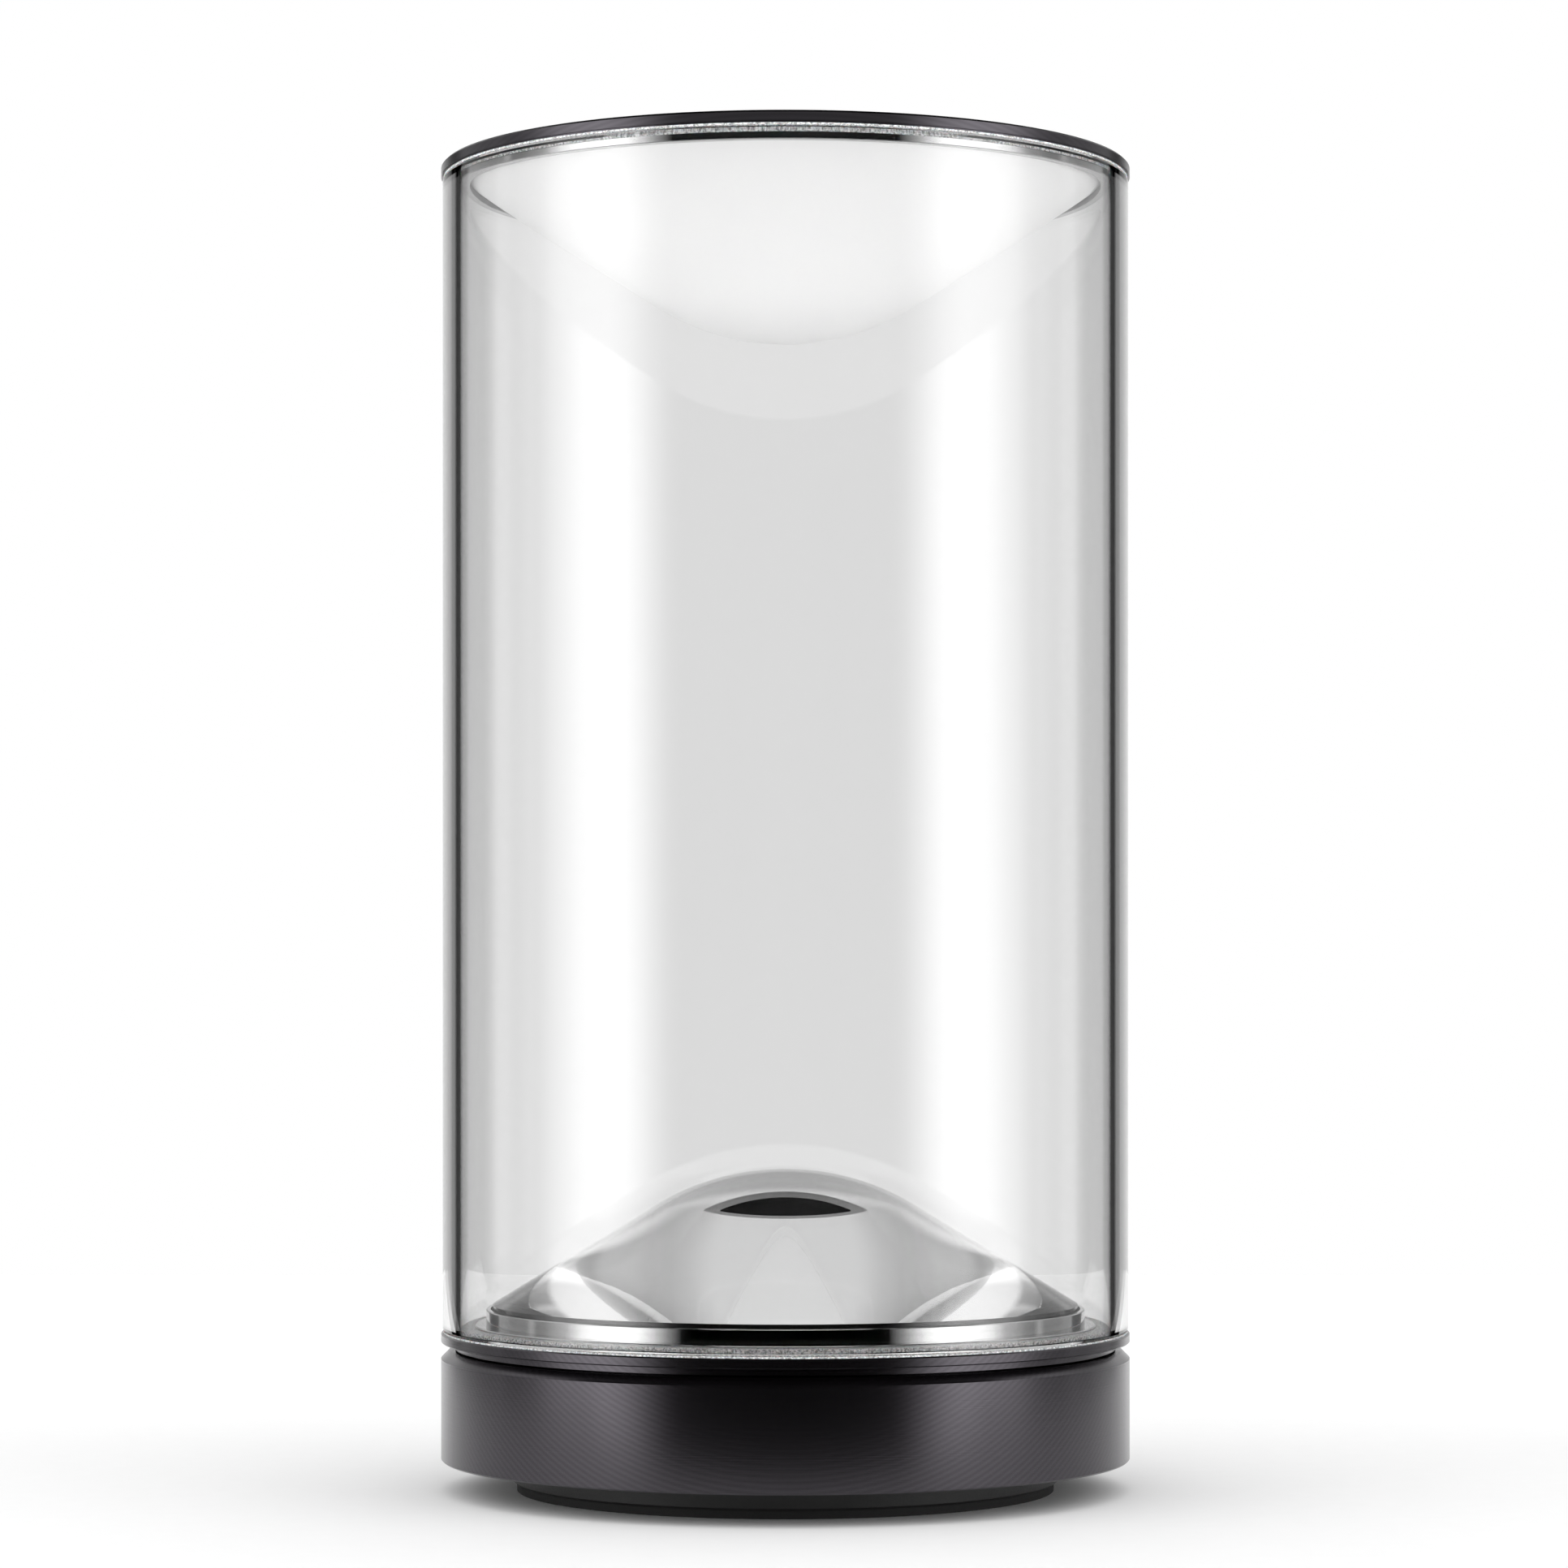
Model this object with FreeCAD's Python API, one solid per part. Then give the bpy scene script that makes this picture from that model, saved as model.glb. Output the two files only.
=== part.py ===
"""Cordless table lantern: glass cylinder between a turned black base and a thin black cap.

Part frame: millimetres, +Z up, origin at the centre of the foot's bottom face, front towards -Y.
Two bodies: the base that stands on the table, and the head that twists on it to dim the light.
The light sits under a solid clear lens and shines up at a white cone that hangs from the cap.
"""
import FreeCAD
import Part
import math
import os

V = FreeCAD.Vector
UP = V(0, 0, 1)

# ---- overall sizes ---------------------------------------------------------------------------
BODY_R = 60.0            # base, seat flange and cap outer radius
OVERALL_H = 230.0        # table to top of cap
GLASS_INSET = 0.25       # glass stands in from the metal edges by this
GLASS_WALL = 3.0         # tube wall
GLASS_EDGE = 0.45        # ground bevel on the tube's four edges

# ---- base ------------------------------------------------------------------------------------
PAD_T = 1.4              # rubber foot ring
PAD_W = 8.8
PAD_INSET = 0.7          # from the plinth's edge
PLINTH_INSET = 12.5      # recessed plinth under the base
PLINTH_WALL = 2.5
PLINTH_FLOOR = 2.0
PLINTH_EDGE = 0.4
BASE_Z0 = 5.4            # lower edge of the base shell
BASE_H = 18.9            # height of the base shell
BASE_WALL = 2.5
BASE_TOP_CHAMFER = 1.3
BASE_EDGE = 0.25         # broken edge at the foot of the shell
DECK_T = 3.0             # swivel deck inside the shell
DECK_DROP = 6.2          # deck below the shell's upper edge
COVER_RECESS = 0.5       # cover plate sits above the shell's lower edge
COVER_T = 2.3
COVER_GAP = 0.2          # cover to shell, radial

# ---- swivel ----------------------------------------------------------------------------------
SPINDLE_R = 12.0
SPINDLE_WALL = 3.5
SPINDLE_STEP = 2.0       # the end that carries the magnet is turned down by this
SPINDLE_TAIL = 0.2       # shaft left below the clip before the step
BUSH_RUN_GAP = 0.05      # running clearance, spindle in bush
BUSH_WALL = 2.0
BUSH_FLANGE_W = 4.5      # flanges, washer and clip stand out from the spindle by these
BUSH_FLANGE_T = 0.5
WASHER_W = 3.5
WASHER_T = 0.6
CLIP_W = 2.2
CLIP_T = 1.0
CLIP_GROOVE = 0.9
CLIP_OPENING = 9.0       # gap of the snap ring
MAGNET_W = 3.0
MAGNET_T = 1.6
GLIDE_INSET = 0.3        # glide ring stands in from the lens well
GLIDE_W = 5.0
GLIDE_T = 1.0
GLIDE_PROUD = 0.3        # glide ring stands above the deck by this
GLIDE_FIT = 0.1
STOP_R = 34.0            # pitch radius of the stop pin
STOP_PIN_R = 2.0
STOP_GROOVE_GAP = 0.4
STOP_GROOVE_DEPTH = 1.8
STOP_PIN_TIP_GAP = 0.5
TWIST_RANGE = 270.0      # degrees from dark to full
TWIST_START = -135.0     # where the stop pin stands when dark

# ---- head ------------------------------------------------------------------------------------
GROOVE_H = 1.5           # open groove between base and seat flange
FLANGE_T = 1.7           # visible edge of the seat flange
FLANGE_EDGE = 0.2
NECK_INSET = 2.5         # neck seen in the groove under the flange
NECK_GAP = 0.3           # neck clears the base shell by this
WELL_RELIEF_GAP = 0.6
WELL_RELIEF = 0.5
WELL_WALL = 2.0
WELL_FLOOR = 1.7
GASKET_T = 0.28
GASKET_INSET = 0.15
BORE_FIT = 0.15          # rings inside the glass clear its bore by this
BEAD_W = 2.48            # frosted bead between the glass and the lens bezel
BEAD_DEPTH = 0.55
BEAD_H = 1.35            # height of the bead above the flange
BEZEL_GAP = 0.06
BEZEL_STEP_W = 1.86
BEZEL_STEP_H = 1.7
BEZEL_EDGE = 0.15
BEZEL_WALL = 0.8
SLEEVE_WALL = 0.4        # black sleeve round the lens
SLEEVE_TOP_GAP = 0.08    # sleeve ends below the bezel's top edge by this
SLEEVE_LIP_W = 2.0
LENS_DEPTH = 4.95        # flat underside of the lens below the flange's top
LIGHT_BOARD_T = 1.2
LIGHT_BOARD_FIT = 0.1
LIGHT_SIZE = 7.0         # square light source, one large emitter block
LIGHT_T = 0.7
LIGHT_CORNER = 0.6
LEAD_R = 0.6             # two-core lead to the light
LEAD_OFFSET = 3.0

CONE_T = 1.5             # wall of the spun reflector cone
LOW_RIM_H = 4.28         # top of the lens bezel above the flange
LOW_TIP_R = 44.38        # tip arc radius
LOW_SLOPE = 30.96        # degrees
HIGH_RIM_H = 1.12        # straight rim of the reflector below the cap
HIGH_TIP_R = 42.7
HIGH_SLOPE = 32.28
CONE_BOSS_R = 6.0
CONE_BOSS_L = 12.0
STUD_R = 2.5             # M5 stud
STUD_L = 14.0
STUD_GRIP = 8.0          # length of stud inside the cone

HUB_W = 4.0              # head of the spindle stands out from its shaft by this
HUB_T = 1.0
CAP_T = 2.0
CAP_EDGE = 0.35
CAP_LIP = 0.25           # shadow line under the cap's edge
CAP_BOSS_R = 8.0
SPIGOT_W = 1.6
SPIGOT_H = 2.3
SPIGOT_EDGE = 0.15
BOND_H = 1.1             # bond line between the spigot ring and the glass
BOND_W = 0.7
REGISTER_DEPTH = 0.5     # groove in the cap that centres the spigot ring

# ---- electrics -------------------------------------------------------------------------------
TRAY_FLOOR = 1.0
TRAY_WALL = 1.2
TRAY_H = 6.0
TRAY_NOTCH_W = 12.0      # finger notch at the end of each pocket
TRAY_NOTCH_SILL = 2.0
CELL_REACH = 37.5        # outer long edge of each cell from the axis
CELL_Y = 44.0
CELL_T = 10.0
CELL_SWIVEL_GAP = 1.0    # cells clear the swivel's flanges by this
CELL_FIT = 0.15
CELL_CORNER = 2.0
BOARD_DROP = 5.2         # board's underside below the deck
BOARD_T = 1.6
BOARD_W = 52.0
BOARD_Y0 = 26.0
BOARD_Y1 = 46.0
BOARD_TONGUE_W = 14.0    # tongue under the charging inlet
BOARD_TONGUE_INSET = 4.0
SENSOR_TONGUE_W = 12.0   # tongue that carries the sensor in between the cells
SENSOR_TONGUE_GAP = 2.5  # from the magnet's edge
USB_W = 8.94
USB_H = 3.26
USB_L = 7.6
USB_INSET = 0.7          # mouth of the charging socket, in from the shell's face
USB_GAP = 0.35
USB_WALL = 0.35
USB_BACK = 1.5
USB_TONGUE = (6.7, 4.6, 0.7)
SENSOR_GAP = 5.2         # sensor's centre from the magnet's edge
SENSOR_SIZE = (2.9, 1.6, 1.1)
DRIVER_PLACE = (-12.0, 38.0)
DRIVER_SIZE = (5.0, 5.0, 0.9)
CHARGER_PLACE = (0.0, 40.0)
CHARGER_SIZE = (4.0, 4.0, 0.8)
CHOKE_PLACE = (12.0, 38.0)
CHOKE_SIZE = (6.0, 6.0, 2.0)
CHOKE_CORNER = 0.8
CHOKE_CORE_R = 2.2
CHOKE_CORE_PROUD = 0.2
HEADER_PLACE = (-20.0, 29.0)
HEADER_SIZE = (6.0, 4.5, 2.3)
HEADER_MOUTH = (4.6, 3.3, 1.2)
HEADER_FLOOR = 0.6

# ---- fasteners -------------------------------------------------------------------------------
COVER_SCREW_INSET = 4.5  # from the shell's inner wall
COVER_SCREW_N = 4
COVER_SCREW_L = 8.0
M3_R = 1.5
M3_HEAD_R = 2.75
M3_HEAD_T = 1.6
M3_DRIVE_R = 1.15
M3_DRIVE_DEPTH = 0.9
PILLAR_R = 4.6
BOARD_SCREW_PLACES = ((-21.0, 42.0), (21.0, 42.0), (0.0, 29.5))
M25_R = 1.25
M25_HEAD_R = 2.2
M25_HEAD_T = 1.5
M25_CLEAR_R = 1.4
M25_SLOT_W = 0.6
M25_SLOT_DEPTH = 0.7
BOARD_SCREW_L = 5.0
BOARD_BOSS_R = 3.0
LIGHT_SCREW_N = 3
LIGHT_SCREW_PITCH = 24.0
M2_R = 1.0
M2_HEAD_R = 1.9
M2_HEAD_T = 0.8
M2_SLOT_W = 0.5
M2_SLOT_DEPTH = 0.4
SCREW_START = 45.0       # first screw of the cover, degrees
LIGHT_SCREW_START = 30.0

# ---- derived radii ---------------------------------------------------------------------------
GLASS_R = BODY_R - GLASS_INSET
BORE_R = GLASS_R - GLASS_WALL
SHELL_IN_R = BODY_R - BASE_WALL
PLINTH_R = BODY_R - PLINTH_INSET
PAD_R_OUT = PLINTH_R - PAD_INSET
NECK_R = BODY_R - NECK_INSET
COVER_SCREW_R = SHELL_IN_R - COVER_SCREW_INSET
SPINDLE_BORE_R = SPINDLE_R - SPINDLE_WALL
SPINDLE_END_R = SPINDLE_R - SPINDLE_STEP
BUSH_R_IN = SPINDLE_R + BUSH_RUN_GAP
BUSH_R_OUT = SPINDLE_R + BUSH_WALL
MAGNET_R = SPINDLE_END_R + MAGNET_W
CELL_SPLIT = 2 * (SPINDLE_R + BUSH_FLANGE_W + CELL_SWIVEL_GAP)
CELL_X = CELL_REACH - CELL_SPLIT / 2
BEAD_R_OUT = BORE_R - BORE_FIT
BEAD_R_IN = BEAD_R_OUT - BEAD_W
BEZEL_R = BEAD_R_IN - BEZEL_GAP
LOW_RIM_R = BEZEL_R - BEZEL_STEP_W
WELL_R = LOW_RIM_R - BEZEL_WALL
WELL_R_OUT = WELL_R + WELL_WALL
LENS_R = WELL_R - SLEEVE_WALL
GLIDE_R_OUT = WELL_R_OUT - GLIDE_INSET
GLIDE_R_IN = GLIDE_R_OUT - GLIDE_W
SPIGOT_R = BORE_R - BORE_FIT
HIGH_RIM_R = SPIGOT_R - SPIGOT_W
BOND_R_IN = SPIGOT_R - BOND_W
USB_Y1 = BODY_R - USB_INSET

# ---- derived heights -------------------------------------------------------------------------
BASE_Z1 = BASE_Z0 + BASE_H
COVER_Z0 = BASE_Z0 + COVER_RECESS
COVER_Z1 = COVER_Z0 + COVER_T
DECK_Z1 = BASE_Z1 - DECK_DROP
DECK_Z0 = DECK_Z1 - DECK_T
GLIDE_Z1 = DECK_Z1 + GLIDE_PROUD
GLIDE_Z0 = GLIDE_Z1 - GLIDE_T
FLANGE_Z0 = BASE_Z1 + GROOVE_H
FLANGE_Z1 = FLANGE_Z0 + FLANGE_T
WASHER_Z1 = DECK_Z0 - BUSH_FLANGE_T
CLIP_Z1 = WASHER_Z1 - WASHER_T
CLIP_Z0 = CLIP_Z1 - CLIP_T
MAGNET_Z1 = CLIP_Z0 - SPINDLE_TAIL
MAGNET_Z0 = MAGNET_Z1 - MAGNET_T
WELL_FLOOR_Z1 = GLIDE_Z1 + WELL_FLOOR
LIGHT_BOARD_Z1 = WELL_FLOOR_Z1 + LIGHT_BOARD_T
LENS_Z0 = FLANGE_Z1 - LENS_DEPTH
BEZEL_Z1 = FLANGE_Z1 + LOW_RIM_H
BEAD_Z0 = FLANGE_Z1 - BEAD_DEPTH
GLASS_Z0 = FLANGE_Z1 + GASKET_T
CAP_Z0 = OVERALL_H - CAP_T
GLASS_Z1 = CAP_Z0 - GASKET_T
CELL_Z0 = PAD_T + PLINTH_FLOOR + TRAY_FLOOR
BOARD_Z0 = DECK_Z0 - BOARD_DROP
BOARD_Z1 = BOARD_Z0 + BOARD_T
USB_ZC = BOARD_Z1 + USB_H / 2


def flare_height(tip_r, slope, rim_r):
    """Height from rim to tip of the lens or the reflector: a round tip tangent to a cone."""
    a = math.radians(slope)
    return tip_r * (1 - math.cos(a)) + (rim_r - tip_r * math.sin(a)) * math.tan(a)


LOW_APEX_Z = FLANGE_Z1 + LOW_RIM_H + flare_height(LOW_TIP_R, LOW_SLOPE, LOW_RIM_R)
HIGH_APEX_Z = CAP_Z0 - HIGH_RIM_H - flare_height(HIGH_TIP_R, HIGH_SLOPE, HIGH_RIM_R)
HIGH_BOSS_Z1 = HIGH_APEX_Z + CONE_T + CONE_BOSS_L


# ---- helpers ---------------------------------------------------------------------------------
def ring(r_in, r_out, z0, z1):
    """Plain ring, or a disc where r_in is zero."""
    body = Part.makeCylinder(r_out, z1 - z0, V(0, 0, z0))
    if r_in > 0:
        body = body.cut(Part.makeCylinder(r_in, z1 - z0, V(0, 0, z0)))
    return body


def rod(r, z0, z1, x=0.0, y=0.0):
    return Part.makeCylinder(r, z1 - z0, V(x, y, z0))


def box(x, y, z, sx, sy, sz):
    """Box centred on x and y, standing on z."""
    return Part.makeBox(sx, sy, sz, V(x - sx / 2, y - sy / 2, z))


def turned(points):
    """Full turning of a closed half-section given as (radius, height) pairs."""
    wire = Part.makePolygon([V(r, 0, z) for r, z in points] + [V(points[0][0], 0, points[0][1])])
    return Part.Face(wire).revolve(V(0, 0, 0), UP, 360)


def polar(r, degrees):
    a = math.radians(degrees)
    return r * math.cos(a), r * math.sin(a)


def rounded_slab(x, y, z, sx, sy, sz, corner):
    slab = box(x, y, z, sx, sy, sz)
    uprights = [e for e in slab.Edges if abs(e.tangentAt(e.FirstParameter).z) > 0.99]
    return slab.makeFillet(corner, uprights)


def countersunk_screw(z_head, length, down=True):
    """Countersunk screw on the axis, head face at z_head, shank away from it, hex drive."""
    s = -1.0 if down else 1.0
    head_end = z_head + s * M3_HEAD_T
    tip = z_head + s * length
    points = [(0, z_head), (M3_HEAD_R, z_head), (M3_R, head_end), (M3_R, tip), (0, tip)]
    body = turned(points)
    drive_z = min(z_head, z_head + s * M3_DRIVE_DEPTH)
    return body.cut(rod(M3_DRIVE_R, drive_z, drive_z + M3_DRIVE_DEPTH))


def screw_seat(z_head, length, down=True):
    """Void that the countersunk screw fills, with its shank at the same size."""
    s = -1.0 if down else 1.0
    head_end = z_head + s * M3_HEAD_T
    tip = z_head + s * length
    return turned([(0, z_head), (M3_HEAD_R, z_head), (M3_R, head_end), (M3_R, tip), (0, tip)])


def moved(shape, x, y, z=0.0):
    c = shape.copy()
    c.translate(V(x, y, z))
    return c


# ---- base ------------------------------------------------------------------------------------
def foot_pad():
    return ring(PAD_R_OUT - PAD_W, PAD_R_OUT, 0, PAD_T)


def cover_screw_places():
    return [polar(COVER_SCREW_R, SCREW_START + 360.0 * i / COVER_SCREW_N) for i in range(COVER_SCREW_N)]


def bottom_cover():
    """Moulded plate that closes the shell, with the plinth standing down from it."""
    well_r = PLINTH_R - PLINTH_WALL
    floor_z = PAD_T + PLINTH_FLOOR
    body = turned([
        (0, PAD_T), (PLINTH_R - PLINTH_EDGE, PAD_T), (PLINTH_R, PAD_T + PLINTH_EDGE), (PLINTH_R, COVER_Z0),
        (SHELL_IN_R - COVER_GAP, COVER_Z0), (SHELL_IN_R - COVER_GAP, COVER_Z1),
        (well_r, COVER_Z1), (well_r, floor_z), (0, floor_z),
    ])
    seat = screw_seat(COVER_Z0, COVER_SCREW_L, down=False)
    for x, y in cover_screw_places():
        body = body.cut(moved(seat, x, y))
    return body


def cover_screws():
    one = countersunk_screw(COVER_Z0, COVER_SCREW_L, down=False)
    return Part.makeCompound([moved(one, x, y) for x, y in cover_screw_places()])


def stop_groove():
    """Blind arc in the deck for the stop pin, rounded at both ends."""
    half = STOP_PIN_R + STOP_GROOVE_GAP
    z0 = DECK_Z1 - STOP_GROOVE_DEPTH
    face = Part.Face(Part.makePolygon([
        V(STOP_R - half, 0, z0), V(STOP_R + half, 0, z0),
        V(STOP_R + half, 0, DECK_Z1), V(STOP_R - half, 0, DECK_Z1), V(STOP_R - half, 0, z0)]))
    arc = face.revolve(V(0, 0, 0), UP, TWIST_RANGE)
    arc.rotate(V(0, 0, 0), UP, TWIST_START)
    for angle in (TWIST_START, TWIST_START + TWIST_RANGE):
        x, y = polar(STOP_R, angle)
        arc = arc.fuse(rod(half, z0, DECK_Z1, x, y))
    return arc


def base_shell():
    """Turned aluminium shell, open above and below, with the swivel deck across it."""
    chamfer_r = BODY_R - BASE_TOP_CHAMFER
    body = turned([
        (SHELL_IN_R, BASE_Z0), (BODY_R - BASE_EDGE, BASE_Z0), (BODY_R, BASE_Z0 + BASE_EDGE),
        (BODY_R, BASE_Z1 - BASE_TOP_CHAMFER), (chamfer_r, BASE_Z1),
        (SHELL_IN_R, BASE_Z1), (SHELL_IN_R, DECK_Z1),
        (GLIDE_R_OUT + GLIDE_FIT, DECK_Z1), (GLIDE_R_OUT + GLIDE_FIT, GLIDE_Z0),
        (GLIDE_R_IN - GLIDE_FIT, GLIDE_Z0), (GLIDE_R_IN - GLIDE_FIT, DECK_Z1),
        (BUSH_R_OUT, DECK_Z1), (BUSH_R_OUT, DECK_Z0), (SHELL_IN_R, DECK_Z0),
    ])
    body = body.cut(stop_groove())
    for x, y in cover_screw_places():
        pillar = rod(PILLAR_R, COVER_Z1, DECK_Z0, x, y).common(rod(SHELL_IN_R, COVER_Z1, DECK_Z0))
        body = body.fuse(pillar)
    seat = screw_seat(COVER_Z0, COVER_SCREW_L, down=False)
    for x, y in cover_screw_places():
        body = body.cut(moved(seat, x, y))
    for x, y in BOARD_SCREW_PLACES:
        body = body.fuse(rod(BOARD_BOSS_R, BOARD_Z1, DECK_Z0, x, y))
        body = body.cut(rod(M25_R, BOARD_Z1, BOARD_Z0 + BOARD_SCREW_L, x, y))
    slot_w = USB_W + 2 * USB_GAP
    slot_h = USB_H + 2 * USB_GAP
    slot = usb_oval(slot_w, slot_h, SHELL_IN_R - BASE_WALL, BODY_R + BASE_WALL)
    return body.cut(slot).removeSplitter()


def usb_oval(w, h, y0, y1):
    """Round-ended bar lying along Y at the height of the charging socket."""
    r = h / 2
    bar = Part.makeBox(w - h, y1 - y0, h, V(-(w - h) / 2, y0, USB_ZC - r))
    for s in (-1, 1):
        bar = bar.fuse(Part.makeCylinder(r, y1 - y0, V(s * (w - h) / 2, y0, USB_ZC), V(0, 1, 0)))
    return bar.removeSplitter()


def usb_socket():
    """Charging inlet: drawn steel shell with its contact tongue joined at the back."""
    y0 = USB_Y1 - USB_L
    shell = usb_oval(USB_W, USB_H, y0, USB_Y1)
    inner_w = USB_W - 2 * USB_WALL
    inner_h = USB_H - 2 * USB_WALL
    shell = shell.cut(usb_oval(inner_w, inner_h, y0 + USB_BACK, USB_Y1))
    tw, tl, tt = USB_TONGUE
    tongue = Part.makeBox(tw, tl, tt, V(-tw / 2, y0 + USB_BACK, USB_ZC - tt / 2))
    return shell.fuse(tongue).removeSplitter()


def glide_ring():
    return ring(GLIDE_R_IN, GLIDE_R_OUT, GLIDE_Z0, GLIDE_Z1)


def spindle_bush():
    """Flanged plain bearing, pushed up into the deck from below."""
    flange_r = SPINDLE_R + BUSH_FLANGE_W
    return turned([
        (BUSH_R_IN, WASHER_Z1), (flange_r, WASHER_Z1), (flange_r, DECK_Z0),
        (BUSH_R_OUT, DECK_Z0), (BUSH_R_OUT, DECK_Z1), (BUSH_R_IN, DECK_Z1),
    ])


def cell_places():
    x = (CELL_SPLIT + CELL_X) / 2
    return (-x, x)


def battery_tray():
    """Moulded tray bonded to the floor of the plinth: a pocket per cell, and one between for wires."""
    z0 = PAD_T + PLINTH_FLOOR
    outer_x = 2 * (CELL_REACH + CELL_FIT + TRAY_WALL)
    outer_y = CELL_Y + 2 * (CELL_FIT + TRAY_WALL)
    pocket_x = CELL_X + 2 * CELL_FIT
    pocket_y = CELL_Y + 2 * CELL_FIT
    middle_x = CELL_SPLIT - 2 * (CELL_FIT + TRAY_WALL)
    tray = rounded_slab(0, 0, z0, outer_x, outer_y, TRAY_H, CELL_CORNER + TRAY_WALL)
    tray = tray.cut(rounded_slab(0, 0, CELL_Z0, middle_x, pocket_y, TRAY_H, CELL_CORNER))
    for x in cell_places():
        tray = tray.cut(rounded_slab(x, 0, CELL_Z0, pocket_x, pocket_y, TRAY_H, CELL_CORNER))
        for s in (-1, 1):
            tray = tray.cut(box(x, s * outer_y / 2, CELL_Z0 + TRAY_NOTCH_SILL,
                                TRAY_NOTCH_W, 3 * TRAY_WALL, TRAY_H))
    return tray


def battery_cells():
    cells = []
    for x in cell_places():
        cells.append(rounded_slab(x, 0, CELL_Z0, CELL_X, CELL_Y, CELL_T, CELL_CORNER))
    return Part.makeCompound(cells)


def control_board():
    """Board behind the cells, with one tongue to the charging inlet and one to the magnet."""
    body = box(0, (BOARD_Y0 + BOARD_Y1) / 2, BOARD_Z0, BOARD_W, BOARD_Y1 - BOARD_Y0, BOARD_T)
    inlet_y = BODY_R - BOARD_TONGUE_INSET
    body = body.fuse(box(0, (BOARD_Y1 + inlet_y) / 2, BOARD_Z0,
                         BOARD_TONGUE_W, inlet_y - BOARD_Y1, BOARD_T))
    sensor_y = MAGNET_R + SENSOR_TONGUE_GAP
    body = body.fuse(box(0, (BOARD_Y0 + sensor_y) / 2, BOARD_Z0,
                         SENSOR_TONGUE_W, BOARD_Y0 - sensor_y, BOARD_T))
    for x, y in BOARD_SCREW_PLACES:
        body = body.cut(rod(M25_CLEAR_R, BOARD_Z0, BOARD_Z1, x, y))
    return body.removeSplitter()


def board_screws():
    """Pan-head screws up through the board into the deck bosses."""
    screws = []
    for x, y in BOARD_SCREW_PLACES:
        head = rod(M25_HEAD_R, BOARD_Z0 - M25_HEAD_T, BOARD_Z0, x, y)
        slot = box(x, y, BOARD_Z0 - M25_HEAD_T, 3 * M25_HEAD_R, M25_SLOT_W, M25_SLOT_DEPTH)
        shank = rod(M25_R, BOARD_Z0, BOARD_Z0 + BOARD_SCREW_L, x, y)
        screws.append(head.cut(slot).fuse(shank).removeSplitter())
    return Part.makeCompound(screws)


def hall_sensor():
    sx, sy, sz = SENSOR_SIZE
    return box(0, MAGNET_R + SENSOR_GAP, BOARD_Z1, sx, sy, sz)


def driver_chip():
    return box(*DRIVER_PLACE, BOARD_Z1, *DRIVER_SIZE)


def charge_chip():
    return box(*CHARGER_PLACE, BOARD_Z1, *CHARGER_SIZE)


def power_inductor():
    """Shielded choke with a round ferrite core showing in its square frame."""
    frame = rounded_slab(*CHOKE_PLACE, BOARD_Z1, *CHOKE_SIZE, CHOKE_CORNER)
    core_z = BOARD_Z1 + CHOKE_SIZE[2] + CHOKE_CORE_PROUD
    return frame.fuse(rod(CHOKE_CORE_R, BOARD_Z1, core_z, *CHOKE_PLACE)).removeSplitter()


def battery_connector():
    """Two-pole header for the cells, open towards them."""
    x, y = HEADER_PLACE
    body = box(x, y, BOARD_Z1, *HEADER_SIZE)
    mouth_y = y - HEADER_SIZE[1] / 2
    return body.cut(box(x, mouth_y, BOARD_Z1 + HEADER_FLOOR, *HEADER_MOUTH))


# ---- head: swivel ----------------------------------------------------------------------------
def light_screw_places():
    return [polar(LIGHT_SCREW_PITCH, LIGHT_SCREW_START + 360.0 * i / LIGHT_SCREW_N)
            for i in range(LIGHT_SCREW_N)]


def seat_flange():
    """Turned flange the glass stands on, with the neck and the well that holds the lens."""
    relief_r = GLIDE_R_IN - WELL_RELIEF_GAP
    hub_r = SPINDLE_R + HUB_W
    body = turned([
        (SPINDLE_R, GLIDE_Z1 + WELL_RELIEF), (relief_r, GLIDE_Z1 + WELL_RELIEF),
        (relief_r, GLIDE_Z1), (WELL_R_OUT, GLIDE_Z1), (WELL_R_OUT, BASE_Z1 + NECK_GAP),
        (NECK_R, BASE_Z1 + NECK_GAP), (NECK_R, FLANGE_Z0),
        (BODY_R - FLANGE_EDGE, FLANGE_Z0), (BODY_R, FLANGE_Z0 + FLANGE_EDGE),
        (BODY_R, FLANGE_Z1 - FLANGE_EDGE), (BODY_R - FLANGE_EDGE, FLANGE_Z1),
        (WELL_R, FLANGE_Z1), (WELL_R, WELL_FLOOR_Z1), (hub_r, WELL_FLOOR_Z1),
        (hub_r, WELL_FLOOR_Z1 - HUB_T), (SPINDLE_R, WELL_FLOOR_Z1 - HUB_T),
    ])
    body = body.cut(ring(BEAD_R_IN, BEAD_R_OUT, BEAD_Z0, FLANGE_Z1))
    x, y = polar(STOP_R, TWIST_START)
    body = body.cut(rod(STOP_PIN_R, GLIDE_Z1, WELL_FLOOR_Z1, x, y))
    for x, y in light_screw_places():
        body = body.cut(rod(M2_R, GLIDE_Z1, WELL_FLOOR_Z1, x, y))
    return body.removeSplitter()


def stop_pin():
    x, y = polar(STOP_R, TWIST_START)
    tip_z = DECK_Z1 - STOP_GROOVE_DEPTH + STOP_PIN_TIP_GAP
    return rod(STOP_PIN_R, tip_z, WELL_FLOOR_Z1, x, y)


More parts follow.
